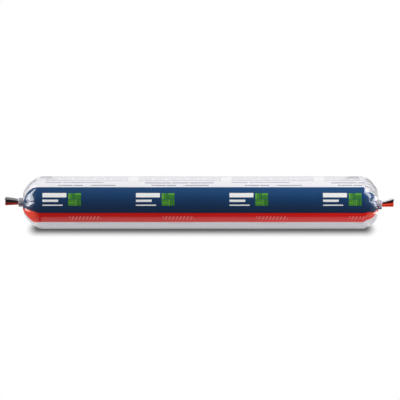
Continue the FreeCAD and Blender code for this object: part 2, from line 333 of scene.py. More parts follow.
def pleat_relief(shape, end, turn, theta):
    """Height of the main pleats: nothing midway between creases, and down to each as a square.

    It fades as the root of the sine of the turn and as the square of its cosine.
    """
    count = shape.pleats
    pitch = TURN / count
    drift = CREASE_DRIFT * np.cos(turn)
    fade = np.sqrt(np.sin(turn)) * np.cos(turn) ** 2
    relief = np.zeros(np.broadcast(turn, theta).shape)
    for pleat in range(count):
        following = (pleat + 1) % count
        start = pitch * (pleat + uneven(pleat + end.outward, drift))
        finish = pitch * (pleat + 1 + uneven(following + end.outward, drift))
        part = np.mod(theta - start, TURN) / (finish - start)
        near = uneven(pleat, PLEAT_UNEVENNESS) * np.clip(1 - 2 * part, 0, 1) ** 2
        far = uneven(following, PLEAT_UNEVENNESS) * np.clip(2 * part - 1, 0, 1) ** 2
        relief = np.where(part < 1, -(near + far) * shape.crease_depth * fade, relief)
    return relief


def fine_relief(shape, end, turn, theta, radius):
    """Height of the fine creases: narrow folds that start near the clip and run out at random.

    Across its run each is a valley beside a lower ridge, both bell curves.
    """
    chance = np.random.default_rng(11 + end.outward)
    relief = np.zeros(np.broadcast(turn, theta).shape)
    for _ in range(shape.fine_creases):
        place, lean = chance.uniform(0, TURN), chance.uniform(-0.5, 0.5)
        reach, width = chance.uniform(0.45, 1.25), chance.uniform(0.35, 0.8) * MM
        depth = end.fine * chance.uniform(0.5, 1.0)
        side = chance.choice((-1, 1))
        across = np.mod(theta - place - lean * turn + math.pi, TURN) - math.pi
        arc = across * radius
        run = smooth(turn, 0.02, 0.16) * (1 - smooth(turn, 0.45 * reach, reach))
        spread = width * (0.6 + 0.8 * turn)
        valley = np.exp(-((arc / spread) ** 2))
        ridge = 0.6 * np.exp(-(((arc - side * 1.9 * spread) / spread) ** 2))
        relief += depth * run * (ridge - valley)
    return relief


def crinkle_relief(end, turn, theta):
    """Height of the crinkles: folded plates, from the absolute values of crossing waves.

    Each wave is the sine of half a sum of turns, bent by a slow sine of its own.
    """
    chance = np.random.default_rng(29 + end.outward)
    relief = np.zeros(np.broadcast(turn, theta).shape)
    for round_waves, long_waves, strength in CRINKLE_WAVES:
        for way in (-1, 1):
            wave = round_waves * theta + way * long_waves * turn + chance.uniform(0, TURN)
            bend = 0.9 * np.sin(3 * theta + 4 * turn + chance.uniform(0, TURN))
            relief += strength * (0.64 - np.abs(np.sin(wave / 2 + bend))) / 2
    return end.crinkle * relief * smooth(turn, 0.12, 0.4) * (1 - smooth(turn, 0.85, 1.5))


def dome_rings(shape, end, theta):
    """The rings of a dome from the neck to the shoulder.

    Each ring also has its place along the flat film and how far the film is gathered there. The
    relief stands at right angles to the profile, and the rings' middles rise or fall from the
    neck's height to the axis as the sine of the turn.
    """
    axis = pack_axis(shape)[1]
    turn = (math.pi / 2) * np.linspace(0, 1, DOME_RINGS)[:, None]
    depth, ring = dome_profile(shape, end, turn)
    step = 1e-4
    ahead, behind = dome_profile(shape, end, turn + step), dome_profile(shape, end, turn - step)
    run, rise = ahead[0] - behind[0], ahead[1] - behind[1]
    slant = np.hypot(run, rise)
    relief = pleat_relief(shape, end, turn, theta)
    relief = relief + fine_relief(shape, end, turn, theta, ring) + crinkle_relief(end, turn, theta)
    steps = np.hypot(np.diff(depth[:, 0]), np.diff(ring[:, 0]))
    to_shoulder = np.append(np.cumsum(steps[::-1])[::-1], 0)
    depth, reach = depth - relief * rise / slant, ring + relief * run / slant
    centre = axis + (end.neck_z - axis) * (1 - np.sin(turn))
    x = end.crown - end.outward * depth
    points = np.stack((x, reach * np.cos(theta), centre + reach * np.sin(theta)), axis=2)
    return points, end.shoulder + end.outward * to_shoulder, 1 - turn[:, 0] / (math.pi / 2)


def tail_outline(shape, end, part, theta):
    """The folded outline of a tail at parts of its length, 0 at the clip and 1 at its cut end.

    Each fold runs straight out of its crease, over a round crest, and straight into the next.
    """
    count = shape.folds
    root = shape.neck_radius + end.tail_swell / 2
    high = root + (end.tail_high / 2 - root) * part
    wide = root + (end.tail_wide / 2 - root) * part
    depth = shape.fold_depth * (ROOT_FOLD_SHARE + (1 - ROOT_FOLD_SHARE) * part)
    numbers = np.arange(count)

    def at(turns, scale):
        angles = TURN * turns / count
        return np.stack((wide * scale * np.cos(angles), high * scale * np.sin(angles)), axis=2)

    crease = at(numbers, 1 - depth * uneven(numbers, FOLD_UNEVENNESS))
    crest = at(numbers + uneven(numbers, FOLD_UNEVENNESS) / 2, 1.0)
    after = np.roll(crease, -1, axis=1)
    back = crest - (crease + after) / 2
    back *= shape.crest_rise / np.linalg.norm(back, axis=2, keepdims=True)
    side = after - crease
    side *= shape.crest_width / 2 / np.linalg.norm(side, axis=2, keepdims=True)
    near, far = crest - back - side, crest - back + side

    place = theta * count / TURN
    fold = np.floor(place).astype(int) % count
    along = (place - np.floor(place))[None, :, None]
    climb = np.clip(along / FOLD_FLANK, 0, 1)
    fall = np.clip((along - 1 + FOLD_FLANK) / FOLD_FLANK, 0, 1)
    over = np.clip((along - FOLD_FLANK) / (1 - 2 * FOLD_FLANK), 0, 1)
    rim = near[:, fold] + (far - near)[:, fold] * over + back[:, fold] * 4 * over * (1 - over)
    rising = crease[:, fold] + (near - crease)[:, fold] * climb
    falling = far[:, fold] + (after - far)[:, fold] * fall
    return np.where(along < FOLD_FLANK, rising, np.where(along > 1 - FOLD_FLANK, falling, rim))


def tail_rings(shape, end, theta):
    """The rings of a tail from its cut end to the clip: a folded outline carried along the tail.

    The outline opens up out of the round neck and is crumpled by sines. The tail bows sideways
    as half a sine and lifts as a power of its length.
    """
    chance = np.random.default_rng(5 + end.outward)
    part = np.linspace(1, 0, TAIL_RINGS)[:, None]
    outline = tail_outline(shape, end, part, theta)
    waves = np.zeros((TAIL_RINGS, len(theta)))
    for round_waves, twist, strength in TAIL_WAVES:
        waves += strength * np.sin(round_waves * theta + twist * part + chance.uniform(0, TURN))
    outline *= (1 + TAIL_WAVE_SHARE * waves * smooth(part, 0, 0.3))[:, :, None]
    gathered = shape.neck_radius * np.stack((np.cos(theta), np.sin(theta)), axis=1)
    outline = gathered + (outline - gathered) * smooth(part, 0, TAIL_OPENING)[:, :, None]
    ragged = CUT_RAGGEDNESS * (np.sin(2 * theta + 1) + np.sin(5 * theta)) * smooth(part, 0.5, 1)
    x = end.clip_outer + (end.tip - end.clip_outer) * part
    x = x - end.outward * (CUT_INSET + ragged) * part
    y = outline[:, :, 0] + TAIL_BOW * np.sin(math.pi * part)
    z = end.neck_z + end.tail_lift * part**1.3 + outline[:, :, 1]
    return np.stack((x, y, z), axis=2)


def neck_rings(shape, end, theta):
    """The rings inside a clip, from its outer face to the bottom of the dimple: a plain rope."""
    start, finish = end.clip_outer, end.crown - end.outward * end.dimple
    x = np.linspace(start, finish, NECK_RINGS + 2)[1:-1, None]
    y = shape.neck_radius * np.cos(theta)
    z = end.neck_z + shape.neck_radius * np.sin(theta)
    return np.stack(np.broadcast_arrays(x, y, z), axis=2)


def lap_height(shape, radius, theta):
    """Height of the lap: nothing along its flush side, rising evenly to its free edge."""
    half = shape.lap_width / 2 / radius
    across = np.mod(theta - shape.lap_angle + math.pi, TURN) - math.pi
    ramp = (half - across) / (2 * half)
    return np.where(np.abs(across) < half, shape.lap_step * ramp, 0.0)


def barrel_rings(shape, ends, theta):
    """The rings between the shoulders, closer together near them, and where each ring lies.

    A cylinder, less slow waves that each are a sine along it times a cosine round it, plus the
    lap along its back.
    """
    radius, axis = pack_axis(shape)
    left, right = ends[0].shoulder, ends[1].shoulder
    even = np.linspace(-1, 1, BARREL_RINGS + 2)[1:-1, None]
    x = (left + right) / 2 + (right - left) / 2 * (0.6 * even + 0.4 * np.sin(even * math.pi / 2))
    waves = np.zeros((BARREL_RINGS, len(theta)))
    chance = np.random.default_rng(3)
    for round_waves, long_waves, strength in BARREL_WAVES:
        phase = chance.uniform(0, TURN, 2)
        long_part = np.sin(long_waves * even * math.pi + phase[0])
        waves += strength * long_part * np.cos(round_waves * theta + phase[1])
    inside = (1 - even**2) / (1.02 - even**2)
    reach = radius + shape.barrel_ripple * (waves - 1) * inside
    reach = reach + lap_height(shape, radius, theta) * smooth(1 - np.abs(even), 0, 0.02)
    parts = (x, reach * np.cos(theta), axis + reach * np.sin(theta))
    return np.stack(np.broadcast_arrays(*parts), axis=2), x[:, 0]


def cut_end(ring, end):
    """Rings that close a tail's cut end: its outline shrunk inwards, in layers stepped by turns."""
    middle = ring.mean(axis=0)
    layers = []
    for number, scale in enumerate(np.linspace(*LAYER_SHRINKAGE, CUT_LAYERS)):
        layer = middle + (ring - middle) * scale
        layer[:, 0] = ring[:, 0] - end.outward * LAYER_STEPS[number % 2]
        layers.append(layer)
    return np.array(layers[::-1])


def film_rings(shape, ends):
    """All rings of the film from left to right, and the angle of each point round them.

    Each ring also has its place along the flat film, and how far the film is gathered there: 0
    on the barrel, 1 at a neck and 2 on a tail. Heights near the floor are rounded off to it: each
    is half the sum of itself and the root of its square and that of a softness.
    """
    theta = np.arange(SEGMENTS) * TURN / SEGMENTS
    parts = []
    for end in ends:
        tail = tail_rings(shape, end, theta)
        neck = neck_rings(shape, end, theta)
        dome, along, gathered = dome_rings(shape, end, theta)
        outside = np.concatenate((cut_end(tail[0], end), tail, neck))
        places = along[0] + outside[:, :, 0].mean(axis=1) - dome[0, :, 0].mean()
        closed = np.repeat((2.0, 1.0), (len(outside) - len(neck), len(neck)))
        rings = np.concatenate((outside, dome))
        parts.append((rings, np.append(places, along), np.append(closed, gathered)))
    barrel, barrel_along = barrel_rings(shape, ends, theta)
    middle = (barrel, barrel_along, np.zeros(len(barrel)))
    points, along, gathered = (
        np.concatenate((left, between, right[::-1]))
        for left, between, right in zip(parts[0], middle, parts[1])
    )
    height = points[:, :, 2]
    points[:, :, 2] = (height + np.sqrt(height**2 + FLOOR_SOFTNESS**2)) / 2
    return points, along, gathered, theta


def print_angles(ends, inks, drift, theta, gathered):
    """The angle at which the print is read, up from the front, for every point of the film.

    It follows the surface, but the folds of a dome carry the edges of the bands with them, so
    each edge runs off its line by the smooth steps in EDGE_DRIFTS. On a tail the folds bring the
    red to the front.
    """
    up = np.degrees(math.pi - theta)
    rows = (inks.red_bottom, inks.blue_bottom, inks.blue_top)
    edges = [math.degrees(inks.turned_up + row) for row in rows]
    on_film = (-180, *edges, 180)
    half = len(gathered) // 2
    read = []
    for number, gather in enumerate(gathered):
        end = ends[0] if number < half else ends[1]
        if gather > ON_TAIL:
            red_top = math.degrees(end.red_top)
            on_ring = (-180, RED_FOLD_START, red_top, red_top + RED_FOLD_EDGE, 180)
        else:
            shifts = [
                sum(step * smooth(gather, low, high) for step, low, high in steps)
                for steps in EDGE_DRIFTS[end.side]
            ]
            carried = [edge + drift * shift for edge, shift in zip(edges, shifts)]
            on_ring = (-180, *carried, 180)
        read.append(np.interp(up, on_ring, on_film))
    return np.array(read)


def fold_depths(points, gathered):
    """How deep each point of a tail lies in its folds, and nothing elsewhere.

    It is 1 less the point's share of its ring's reach, stretched, and 1 at most.
    """
    spread = points - points.mean(axis=1, keepdims=True)
    reach = np.hypot(spread[:, :, 1], spread[:, :, 2])
    depth = 1 - reach / reach.max(axis=1, keepdims=True)
    return np.where(gathered[:, None] > ON_TAIL, np.clip(depth * DEPTH_STRETCH, 0, 1), 0.0)


# ---------------------------------------------------------------------------- meshes


def add_piece(name, vertices, faces, materials, smooth_shaded=True):
    """A mesh object at the origin from arrays of corners and faces."""
    mesh = bpy.data.meshes.new(name)
    mesh.from_pydata(vertices.tolist(), [], faces)
    for material in materials:
        mesh.materials.append(material)
    mesh.polygons.foreach_set("use_smooth", [smooth_shaded] * len(mesh.polygons))
    piece = bpy.data.objects.new(name, mesh)
    bpy.context.scene.collection.objects.link(piece)
    mesh.update()
    return piece


def ring_faces(rings, segments):
    """Four-sided faces between neighbouring closed rings, turned outwards for rings along +X."""
    row, column = np.meshgrid(np.arange(rings - 1), np.arange(segments), indexing="ij")
    after = (column + 1) % segments
    corners = (row * segments + column, row * segments + after)
    further = ((row + 1) * segments + after, (row + 1) * segments + column)
    return np.stack(corners + further, axis=2).reshape(-1, 4)


def corner_values(values, last):
    """Values of a ring grid at the four corners of each face; last closes each ring's row."""
    closed = np.concatenate((values, last), axis=1)
    faces = (closed[:-1, :-1], closed[:-1, 1:], closed[1:, 1:], closed[1:, :-1])
    return np.stack(faces, axis=2).reshape(-1)


def add_uv_layer(piece, name, across, around, spare):
    """A UV map from corner values, with the end fans' spare corners at its middle."""
    pairs = np.concatenate((np.stack((across, around), axis=1), np.full((spare, 2), 0.5)))
    piece.data.uv_layers.new(name=name).data.foreach_set("uv", pairs.astype(np.float32).ravel())


def build_film(context):
    """The printed film: rings from cut end to cut end, closed by a fan of triangles at each.

    One UV map holds where the print is read, along the flat film and round it. The other holds how
    far the film is gathered and how deep in the folds it lies.
    """
    shape, inks = context.scene.pack_film, context.scene.pack_print
    ends = [PackEnd(shape, side) for side in SIDES]
    points, along, gathered, theta = film_rings(shape, ends)
    rings, segments = points.shape[:2]
    tips = points[[0, -1]].mean(axis=1)
    vertices = np.concatenate((points.reshape(-1, 3), tips))
    first, last = rings * segments, rings * segments + 1
    here, after = np.arange(segments), (np.arange(segments) + 1) % segments
    base = (rings - 1) * segments
    left_fan = np.stack((np.full(segments, first), after, here), axis=1)
    right_fan = np.stack((np.full(segments, last), base + here, base + after), axis=1)
    faces = ring_faces(rings, segments).tolist() + left_fan.tolist() + right_fan.tolist()
    materials = [film_material(shape, inks), foil_material(inks)]
    piece = add_piece("printed_film", vertices, faces, materials)

    across = np.repeat((along / pack_length + 0.5)[:, None], segments, axis=1)
    around = print_angles(ends, inks, shape.drift, theta, gathered) / 360 + 0.5
    gather = np.repeat(gathered[:, None] / 2, segments, axis=1)
    depth = fold_depths(points, gathered)
    seam = np.zeros((rings, 1))
    spare = left_fan.size + right_fan.size
    across, around = corner_values(across, across[:, :1]), corner_values(around, seam)
    add_uv_layer(piece, "print", across, around, spare)
    gather, depth = corner_values(gather, gather[:, :1]), corner_values(depth, depth[:, :1])
    add_uv_layer(piece, "folds", gather, depth, spare)
    # The cut ends take the second material: the outermost layers, and the fans, which come last.
    slots = np.zeros(len(faces), dtype=np.int32)
    slots[: CUT_LAYERS * segments] = 1
    slots[(rings - 1 - CUT_LAYERS) * segments :] = 1
    piece.data.polygons.foreach_set("material_index", slots)
    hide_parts("filled_film_pack")
    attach(piece, "root")


def clip_outline(shape, outer):
    """The closed outline of a clip across the pack, as points (y, z) from the bore's middle.

    In order: over the crown, down a leg, round a foot, up the slot, round the bore, and back.
    """
    half_gap = shape.gap / 2
    foot = (outer - half_gap) / 2
    mouth = math.asin(half_gap / shape.bore)

    def arc(y, z, radius, start, finish, count):
        turns = np.linspace(start, finish, count)
        return np.stack((y + radius * np.cos(turns), z + radius * np.sin(turns)), axis=1)

    def line(y0, z0, y1, z1, count):
        return np.linspace((y0, z0), (y1, z1), count)

    centre = -outer + foot
    slot_top = -shape.bore * math.cos(mouth)
    stretches = (
        arc(0, 0, outer, 0, math.pi, 40),
        line(-outer, 0, -outer, -shape.leg, 6)[1:],
        arc(centre, -shape.leg, foot, math.pi, TURN, 26)[1:],
        line(-half_gap, -shape.leg, -half_gap, slot_top, 3)[1:],
        arc(0, 0, shape.bore, 1.5 * math.pi - mouth, -math.pi / 2 + mouth, 48)[1:],
        line(half_gap, slot_top, half_gap, -shape.leg, 3)[1:],
        arc(-centre, -shape.leg, foot, math.pi, TURN, 26)[1:],
        line(outer, -shape.leg, outer, 0, 6)[1:-1],
    )
    return np.concatenate(stretches)


def build_clip(context, side):
    """A crimped clip: its outline carried across the strip's width, and drawn in at both edges.

    The edges are quarter circles, and they are rounder outside than in the bore.
    """
    shape = context.scene.pack_clip
    end = PackEnd(context.scene.pack_film, side)
    outline = clip_outline(shape, end.clip_radius)
    tangent = np.roll(outline, -1, axis=0) - np.roll(outline, 1, axis=0)
    tangent /= np.linalg.norm(tangent, axis=1, keepdims=True)
    inward = np.stack((-tangent[:, 1], tangent[:, 0]), axis=1)
    from_bore = np.hypot(outline[:, 0], outline[:, 1]) - shape.bore
    rounding = shape.edge * (0.12 + 0.88 * smooth(from_bore, 0.1 * MM, 0.9 * MM))
    half = abs(end.clip_outer - end.clip_inner) / 2
    middle = (end.clip_inner + end.clip_outer) / 2
    corner = np.linspace(0, math.pi / 2, 7)
    turn = np.concatenate((corner, corner[::-1]))[:, None]
    way = np.repeat((-1.0, 1.0), len(corner))[:, None]
    x = middle + way * (half - rounding * (1 - np.cos(turn)))
    drawn = (rounding * (1 - np.sin(turn)))[:, :, None]
    across = outline + inward * drawn
    vertices = np.stack((x, across[:, :, 0], end.neck_z + across[:, :, 1]), axis=2)
    rings, count = x.shape
    faces = ring_faces(rings, count).tolist()
    faces.append(list(range(count))[::-1])
    faces.append(list(range((rings - 1) * count, rings * count)))
    piece = add_piece(
        f"{side}_crimped_clip", vertices.reshape(-1, 3), faces, [metal_material(shape, end)]
    )
    rounded = [len(polygon.vertices) == 4 for polygon in piece.data.polygons]
    piece.data.polygons.foreach_set("use_smooth", rounded)
    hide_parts(f"{side}_clip")
    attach(piece, "root")


# ---------------------------------------------------------------------------- materials


class Field:
    """A number at every point of a surface. Combining fields adds Math nodes to their tree."""

    def __init__(self, tree, socket):
        self.tree, self.socket = tree, socket

    def node(self, kind, settings, *inputs):
        """A new node of a kind, with its settings and its inputs by name or number."""
        node = self.tree.nodes.new(kind)
        for name, value in settings.items():
            setattr(node, name, value)
        for place, value in inputs:
            if isinstance(value, Field):
                self.tree.links.new(value.socket, node.inputs[place])
            else:
                node.inputs[place].default_value = value
        return node

    def math(self, operation, *others):
        """The result of one Math node on this field and the others."""
        inputs = enumerate((self, *others))
        node = self.node("ShaderNodeMath", {"operation": operation}, *inputs)
        return Field(self.tree, node.outputs[0])

    def __add__(self, other):
        return self.math("ADD", other)

    def __sub__(self, other):
        return self.math("SUBTRACT", other)

    def __mul__(self, other):
        return self.math("MULTIPLY", other)

    def __truediv__(self, other):
        return self.math("DIVIDE", other)

    def flipped(self):
        """One less this field."""
        return self.math("MULTIPLY_ADD", -1.0, 1.0)

    def remainder(self, step):
        """What is left over from whole steps, always from 0 up to the step."""
        return self.math("FLOORED_MODULO", step)

    def ramp(self, low, high, start=0.0, finish=1.0):
        """Rises smoothly from start at low to finish at high, and is level outside."""
        inputs = ((0, self), (1, low), (2, high), (3, start), (4, finish))
        settings = {"interpolation_type": "SMOOTHSTEP", "clamp": True}
        return Field(self.tree, self.node("ShaderNodeMapRange", settings, *inputs).outputs[0])

    def between(self, low, high, soft):
        """One from low to high and nothing outside, over edges of a soft width."""
        rise = self.ramp(low - soft / 2, low + soft / 2)
        return rise * self.ramp(high - soft / 2, high + soft / 2, 1.0, 0.0)

    def over(self, under, upper):
        """One colour laid over another where this field is one; each is a field or a colour."""
        under, upper = (tint if isinstance(tint, Field) else [*tint, 1] for tint in (under, upper))
        settings = {"data_type": "RGBA"}
        inputs = ((0, self), (6, under), (7, upper))
        return Field(self.tree, self.node("ShaderNodeMix", settings, *inputs).outputs[2])


def new_material(name):
    """A material with an empty node tree but for its output, and that tree and output."""
    material = bpy.data.materials.new(name)
    material.use_nodes = True
    tree = material.node_tree
    tree.nodes.clear()
    return material, tree, tree.nodes.new("ShaderNodeOutputMaterial")


def coordinates(tree, kind="Object", layer=None):
    """The three parts of Object coordinates, of another kind, or of a named UV map, as fields."""
    if layer:
        source = tree.nodes.new("ShaderNodeUVMap")
        source.uv_map = layer
        socket = source.outputs["UV"]
    else:
        socket = tree.nodes.new("ShaderNodeTexCoord").outputs[kind]
    split = tree.nodes.new("ShaderNodeSeparateXYZ")
    tree.links.new(socket, split.inputs[0])
    return [Field(tree, output) for output in split.outputs]


def joined(x, y, z=0.0):
    """Three fields or numbers as one vector field."""
    inputs = enumerate((x, y, z))
    return Field(x.tree, x.node("ShaderNodeCombineXYZ", {}, *inputs).outputs[0])


def noise(place, scale, detail=2.0, roughness=0.5, distortion=0.0):
    """Smooth noise from about 0 to 1 at a vector field's places."""
    inputs = (
        ("Vector", place),
        ("Scale", scale),
        ("Detail", detail),
        ("Roughness", roughness),
        ("Distortion", distortion),
    )
    return Field(place.tree, place.node("ShaderNodeTexNoise", {}, *inputs).outputs[0])


def principled(tree, output, **sockets):
    """A Principled BSDF joined to the output, with fields or numbers on the sockets named."""
    shader = tree.nodes.new("ShaderNodeBsdfPrincipled")
    for name, value in sockets.items():
        socket = shader.inputs[name.replace("_", " ").title().replace("Ior", "IOR")]
        if isinstance(value, Field):
            tree.links.new(value.socket, socket)
        else:
            socket.default_value = value
    tree.links.new(shader.outputs[0], output.inputs["Surface"])


def bumped(height, distance, under=None):
    """A normal tilted by a height field, whose 1 stands for a distance in metres."""
    node = height.node("ShaderNodeBump", {}, ("Height", height), ("Distance", distance))
    if under is not None:
        height.tree.links.new(under.socket, node.inputs["Normal"])
    return Field(height.tree, node.outputs[0])


# The print in millimetres: along a set of motifs from its start, and up from the print's middle.
PRINT_EDGE = 0.14
MOTIF_EDGE = 0.12
DASH_EDGE = 0.3
BLUE_LINE = 0.25
BLUE_SHADE_REACH = (3.0, 1.0)
PRINTED_FROM, PRINTED_TO = -182.0, 186.0
BARS = ((0.0, 22.0, 5.1, 9.3), (0.0, 14.5, 0.9, 3.0), (0.0, 18.5, -2.7, -1.6))
FLOOR_SQUARE = (23.6, -2.7, 12.0)
STRIP_GAP = 0.34
STROKE_FIELD = (24.5, 53.5, -16.5, -12.9)
STROKE_START = 33.5
STROKE_STEP = 3.3
STROKE_WIDTH = 1.5
STROKE_LEAN = 0.45
PINK_ROW = (-21.6, -20.9, 30.0, 52.0)

# Rows of dashes: middle, height, start, finish, strength, and which sets of motifs bear them.
ROWS = (
    (17.6, 1.0, 14.0, 36.8, 0.95, "all"),
    (17.6, 1.0, 43.5, 67.0, 0.9, "all"),
    (21.5, 0.9, 2.0, 55.5, 0.75, "even"),
    (20.9, 1.0, 8.0, 71.5, 1.0, "odd"),
    (24.6, 1.2, 2.0, 78.4, 0.5, "all"),
    (27.4, 1.3, 2.0, 78.4, 0.5, "all"),
    (30.2, 1.3, 2.0, 78.4, 0.5, "all"),
    (33.0, 1.3, 2.0, 78.4, 0.4, "all"),
)


def block(along, up, start, finish, low, high, soft=MOTIF_EDGE):
    """A plain rectangle of the print, from start to finish along it and from low to high."""
    return along.between(start, finish, soft) * up.between(low, high, soft)


def dashes(along, up, low, high, start, finish, seed):
    """A row of plain bars of uneven length, in place of fine print."""
    words = noise(joined(along * 0.38, along * 0.0 + seed), 1.0, 1.0).ramp(0.345, 0.36)
    return block(along, up, start, finish, low, high, DASH_EDGE) * words


def floor_blocks(along, up, left, bottom, size):
    """A square of four wood blocks, each of three strips, turned by turns: a floor, in plan.

    It gives where the strips are, and how light each of them is.
    """
    across, height = along - left, up - bottom
    half = size / 2
    strip = half / 3
    column, row = across.math("GREATER_THAN", half), height.math("GREATER_THAN", half)
    turned = (column - row).math("ABSOLUTE")
    run = across * turned + height * turned.flipped()
    side = height * turned + across * turned.flipped()
    body = run.remainder(strip).between(STRIP_GAP / 2, strip - STRIP_GAP / 2, MOTIF_EDGE)
    body = body * side.remainder(half).between(STRIP_GAP / 2, half - STRIP_GAP / 2, MOTIF_EDGE)
    inside = block(across, height, 0.0, size, 0.0, size)
    number = (run / strip).math("FLOOR") + column * 2.0 + row
    tone = (number * 1.7).math("SINE").math("MULTIPLY_ADD", 0.5, 0.5)
    return inside * body, tone


def print_bands(inks, along, up, gather, edges):
    """The white film with its red and blue bands, and one where it is blue.

    The edges wander a little with a slow noise. Light and shade are painted into the bands: the
    blue is lighter upwards and to the right, and the red is darker to the left and lighter on the
    domes.
    """
    red_bottom, blue_bottom, blue_top = edges
    edge = up + (noise(joined(along * 0.02, up * 0.05), 1.0) - 0.5) * 0.25
    # Painted light: the blue is drawn lighter upwards and to the right, where more lamplight falls.
    below, above = BLUE_SHADE_REACH
    depth = up.ramp(blue_bottom - below, blue_top + above) * along.ramp(-230.0, 210.0, 0.62, 1.05)
    depth = depth + noise(joined(along * 0.05, up * 0.09), 1.0, 3.0) * 0.1 - 0.03
    blue = depth.over(inks.blue_dark, inks.blue_light)
    # Painted shade: the red darkens towards the left end.
    red = along.ramp(-230.0, 150.0).over(inks.red_left, inks.red)
    # Painted light: the red lightens where a dome gathers it.
    red = gather.ramp(0.02, 0.16).over(red, inks.red_gathered)
    in_blue = edge.between(blue_bottom, blue_top, PRINT_EDGE)
    under_blue = blue_bottom + 0.2
    colour = edge.between(red_bottom, under_blue, PRINT_EDGE).over(inks.white, red)
    colour = in_blue.over(colour, blue)
    line = edge.between(blue_bottom - BLUE_LINE, under_blue, PRINT_EDGE)
    return line.over(colour, inks.line), in_blue


def print_motifs(inks, along, up, colour):
    """The sets of motifs over the bands: bars, a floor, slanted strokes and rows of dashes."""
    sets = along - inks.first_set / MM
    place = sets.remainder(inks.pitch / MM)
    printed = along.between(PRINTED_FROM, PRINTED_TO, 0.2)
    first, second, third = (block(place, up, *bar) for bar in BARS)
    colour = ((first + second + third) * printed).over(colour, inks.bars)
    blocks, tone = floor_blocks(place, up, *FLOOR_SQUARE)
    green = tone.over(inks.green_dark, inks.green)
    colour = (blocks * printed).over(colour, green)
    slanted = place - up * STROKE_LEAN - STROKE_START
    strokes = slanted.remainder(STROKE_STEP).between(0.0, STROKE_WIDTH, PRINT_EDGE)
    strokes = strokes * block(place, up, *STROKE_FIELD)
    colour = (strokes * printed * 0.62).over(colour, inks.strokes)
    colour = (dashes(place, up, *PINK_ROW, 3.0) * 0.5).over(colour, inks.pink)

    odd = (sets / (inks.pitch / MM)).math("FLOOR").remainder(2.0)
    bearers = {"even": odd.flipped(), "odd": odd}
    for number, (middle, high, start, finish, strength, bearing) in enumerate(ROWS):
        low, top = middle - high / 2, middle + high / 2
        row = dashes(place, up, low, top, start, finish, number * 5.3) * strength
        if bearing in bearers:
            row = row * bearers[bearing]
        colour = row.over(colour, inks.grey)
    return colour


def film_material(shape, inks):
    """Printed laminate: bands of colour round the pack, repeated motifs and a glossy top layer.

    On the tails shade is painted into the print: darker deep in the folds, over the whole left tail
    and near black over the blue. The lap is hatched by its seal, a product of two crossing sines.
    """
    material, tree, output = new_material("printed_laminate")
    across, around, _ = coordinates(tree, layer="print")
    gather, fold, _ = coordinates(tree, layer="folds")
    radius = pack_axis(shape)[0] / MM
    along = (across - 0.5) * (pack_length / MM)
    from_front = (around - 0.5) * (TURN * radius)
    up = from_front - inks.turned_up * radius
    edges = [row * radius for row in (inks.red_bottom, inks.blue_bottom, inks.blue_top)]
    colour, in_blue = print_bands(inks, along, up, gather, edges)
    colour = print_motifs(inks, along, up, colour)
    # Painted shade on the tails: darker deep in the folds, over the whole left tail, and near black
    # over the blue.
    on_tail = gather.ramp(0.74, 0.76)
    shade = fold.ramp(0.25, 0.9) * 0.8 + along.math("LESS_THAN", 0.0) * 0.45 + in_blue * 0.7
    shade = (shade * on_tail).math("MINIMUM", 0.96)
    colour = shade.over(colour, inks.folded_in)

    ripple = noise(joined(*coordinates(tree)), 160.0, 2.0, 0.55, 0.4)
    lap_up = from_front - math.remainder(math.pi - shape.lap_angle, TURN) * radius
    half_lap = shape.lap_width / 2 / MM
    lap = lap_up.between(-half_lap, half_lap, 0.5)
    hatch = ((along + lap_up) * 2.6).math("SINE") * ((along - lap_up) * 2.6).math("SINE")
    normal = bumped(ripple * gather.ramp(0.0, 0.12, 0.1, 1.0), 0.35 * MM)
    principled(
        tree,
        output,
        base_color=colour,
        roughness=ripple * 0.14 + 0.24,
        specular_ior_level=0.2,
        coat_weight=1.0,
        coat_roughness=0.06,
        coat_ior=1.5,
        normal=bumped(hatch * lap, 0.04 * MM, normal),
    )
    return material


def foil_material(inks):
    """The cut edges of the gathered laminate: bare foil and white film, layer beside layer, with
    painted shade in the gaps between the layers.
    """
    material, tree, output = new_material("cut_laminate_edges")
    layers = noise(joined(*coordinates(tree)), 1400.0, 3.0, 0.6, 0.8)
    # Painted shade in the gaps between the layers, laid on by noise.
    colour = layers.ramp(0.35, 0.6).over(inks.foil_gaps, inks.foil)
    normal = bumped(layers, 0.3 * MM)
    principled(tree, output, base_color=colour, metallic=0.35, roughness=0.42, normal=normal)
    return material


def metal_material(shape, end):
    """Bare aluminium strip: fine drawn lines, scuffs, and a dark band of painted shade low down,
    between the curled feet.
    """
    material, tree, output = new_material(f"{end.side}_clip_aluminium")
    x, y, z = coordinates(tree)
    lines = noise(joined(x, y * 0.06, z * 0.06), 5200.0, 3.0, 0.6)
    scuffs = noise(joined(x, y, z), 620.0, 4.0, 0.6, 0.6)
    colour = scuffs.ramp(0.3, 0.7).over(shape.dull, shape.metal)
    # Painted shade: a dark band across the clip at the height set for its side.
    line, width = end.neck_z + getattr(shape, f"{end.side}_line"), 0.8 * MM
    shade_band = z.between(line - width, line + width, width)
    colour = (shade_band * 0.8).over(colour, shape.crimp)
    roughness = lines * 0.12 + scuffs * 0.22 + 0.32
    normal = bumped(lines * 0.4 + scuffs * 0.6, 0.16 * MM)
    principled(tree, output, base_color=colour, metallic=0.5, roughness=roughness, normal=normal)
    return material


# ---------------------------------------------------------------------------- studio

DARK_ROOM = 0.08
FLOOR_REACH = 8.0

